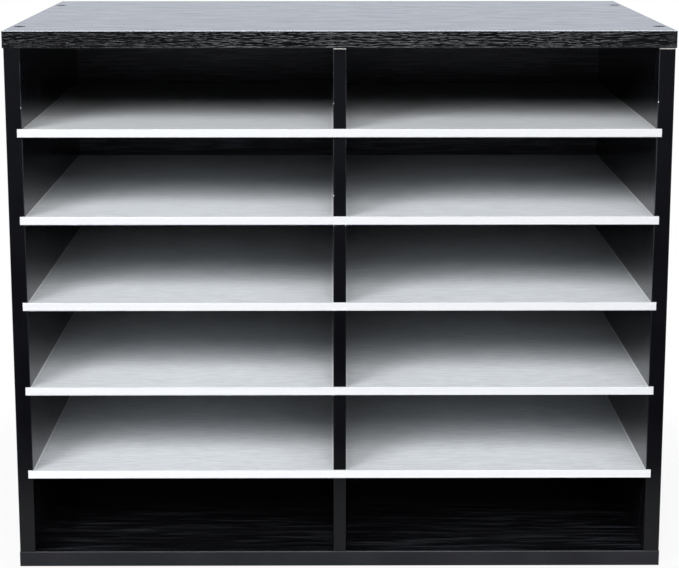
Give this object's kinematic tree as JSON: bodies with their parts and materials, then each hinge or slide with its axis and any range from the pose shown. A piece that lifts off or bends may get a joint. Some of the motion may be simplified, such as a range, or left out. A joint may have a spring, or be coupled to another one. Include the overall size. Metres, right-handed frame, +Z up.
{
  "type": "literature organizer",
  "caption": "Open-fronted black laminate literature organizer in two columns, with light grey removable shelves that have white front mouldings.",
  "frame": {"origin": "centre of the footprint of the whole object with its shelves pushed home, on the surface that it stands on", "axes": "+X to the right seen from the front, +Y from the front to the back, +Z up; the open front faces -Y"},
  "size_m": [0.4952, 0.3048, 0.4135],
  "materials": {
    "black_grained_laminate": "embossed black wood-grain foil, satin",
    "black_laminate": "smooth black foil on fibreboard, satin",
    "black_edge_band": "smooth black edge band, satin",
    "grey_grained_board": "light grey foil with a fine linear grain, satin",
    "white_moulding": "extruded white, semi-gloss",
    "black_steel": "black phosphated",
    "zinc_steel": "zinc plated",
    "beech": "plain beech"
  },
  "bodies": {
    "cabinet": {"top_panel": "black_grained_laminate", "top_front_band": "black_grained_laminate", "top_left_end_band": "black_grained_laminate", "top_right_end_band": "black_grained_laminate", "bottom_panel": "black_laminate", "bottom_front_band": "black_edge_band", "bottom_left_end_band": "black_edge_band", "bottom_right_end_band": "black_edge_band", "left_side_panel": "black_laminate", "left_side_band": "black_edge_band", "right_side_panel": "black_laminate", "right_side_band": "black_edge_band", "centre_divider": "black_laminate", "divider_band": "black_edge_band", "back_panel": "black_grained_laminate", "back_panel_pins": "zinc_steel", "top_screws": "black_steel", "bottom_screws": "black_steel", "divider_dowels": "beech"},
    "shelf_1": {"shelf_1_left_board": "grey_grained_board", "shelf_1_right_board": "grey_grained_board", "shelf_1_moulding": "white_moulding"},
    "shelf_2": {"shelf_2_left_board": "grey_grained_board", "shelf_2_right_board": "grey_grained_board", "shelf_2_moulding": "white_moulding"},
    "shelf_3": {"shelf_3_left_board": "grey_grained_board", "shelf_3_right_board": "grey_grained_board", "shelf_3_moulding": "white_moulding"},
    "shelf_4": {"shelf_4_left_board": "grey_grained_board", "shelf_4_right_board": "grey_grained_board", "shelf_4_moulding": "white_moulding"},
    "shelf_5": {"shelf_5_left_board": "grey_grained_board", "shelf_5_right_board": "grey_grained_board", "shelf_5_moulding": "white_moulding"}
  },
  "joints": [
    {"name": "shelf_1_slide", "type": "slide", "parent": "cabinet", "child": "shelf_1", "axis": [0, -1, 0], "range_m": [0, 0.31]},
    {"name": "shelf_2_slide", "type": "slide", "parent": "cabinet", "child": "shelf_2", "axis": [0, -1, 0], "range_m": [0, 0.31]},
    {"name": "shelf_3_slide", "type": "slide", "parent": "cabinet", "child": "shelf_3", "axis": [0, -1, 0], "range_m": [0, 0.31]},
    {"name": "shelf_4_slide", "type": "slide", "parent": "cabinet", "child": "shelf_4", "axis": [0, -1, 0], "range_m": [0, 0.31]},
    {"name": "shelf_5_slide", "type": "slide", "parent": "cabinet", "child": "shelf_5", "axis": [0, -1, 0], "range_m": [0, 0.31]}
  ]
}
